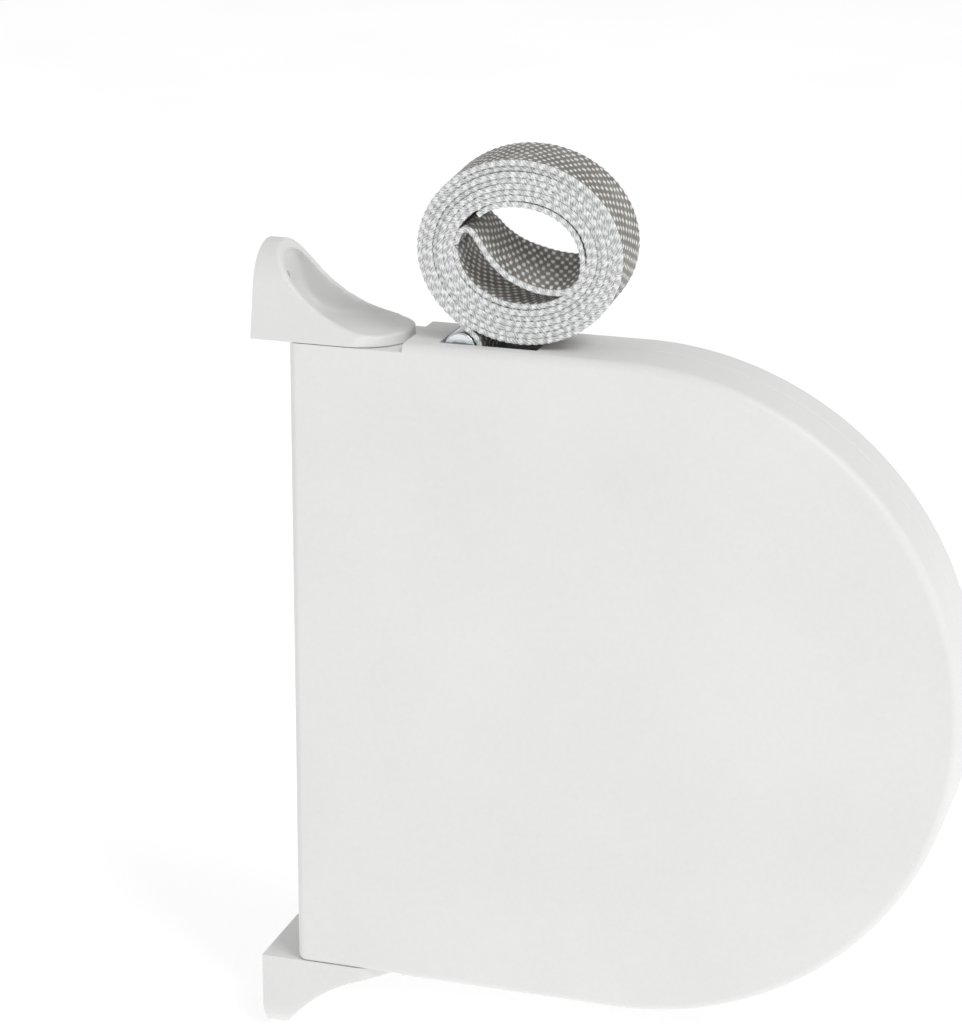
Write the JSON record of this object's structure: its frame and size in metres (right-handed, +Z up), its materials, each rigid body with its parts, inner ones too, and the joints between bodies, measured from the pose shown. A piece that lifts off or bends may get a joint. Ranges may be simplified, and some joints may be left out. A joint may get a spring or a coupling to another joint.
{
  "type": "roller shutter belt winder",
  "caption": "Surface-mounted swivelling belt winder for a roller shutter: a flat D-shaped plastic housing on two wall brackets, its webbing led out over a steel roller and rolled up on top.",
  "frame": {"origin": "on the wall plane, on the belt's centre plane, midway between the two wall screws", "axes": "+X straight out from the wall, +Y across the housing from its front face to its back, +Z up"},
  "size_m": [0.1586, 0.023, 0.2102],
  "materials": {
    "housing_white": "satin white ABS",
    "bracket_white": "satin white ABS",
    "zinc_steel": "bright zinc plated",
    "belt_webbing": "plain woven polyester, light grey",
    "spool_plastic": "moulded, dull",
    "spring_steel": "blued strip",
    "bearing_plastic": "natural acetal"
  },
  "bodies": {
    "brackets": {"top_bracket": "bracket_white", "bottom_bracket": "bracket_white"},
    "housing": {"front_shell": "housing_white", "rear_shell": "housing_white", "shell_screws": "zinc_steel", "spool_axle": "zinc_steel", "axle_retaining_ring": "spring_steel", "spool_washer": "bearing_plastic", "guide_roller_pin": "zinc_steel", "belt_strand": "belt_webbing", "belt_roll": "belt_webbing"},
    "spool": {"spool_cup": "spool_plastic", "spool_cover": "spool_plastic", "cover_screws": "zinc_steel", "front_spool_bush": "bearing_plastic", "rear_spool_bush": "bearing_plastic", "spring_anchor_pin": "zinc_steel", "belt_anchor_pin": "zinc_steel", "clock_spring": "spring_steel", "belt_on_spool": "belt_webbing"},
    "roller": {"guide_roller": "zinc_steel"}
  },
  "joints": [
    {"name": "housing_swivel", "type": "hinge", "parent": "brackets", "child": "housing", "pos_m": [0.022, 0, 0], "axis": [0, 0, 1], "range_deg": [-90, 90]},
    {"name": "spool_spin", "type": "hinge", "parent": "housing", "child": "spool", "pos_m": [0.0836, 0, 0], "axis": [0, 1, 0], "range_deg": [0, 4320], "stiffness_Nm_per_rad": 0.012},
    {"name": "roller_spin", "type": "hinge", "parent": "housing", "child": "roller", "pos_m": [0.0464, 0, 0.074], "axis": [0, 1, 0], "continuous": true}
  ],
  "couplings": [
    {"joint": "roller_spin", "follows": "spool_spin", "ratio": -13.9}
  ]
}
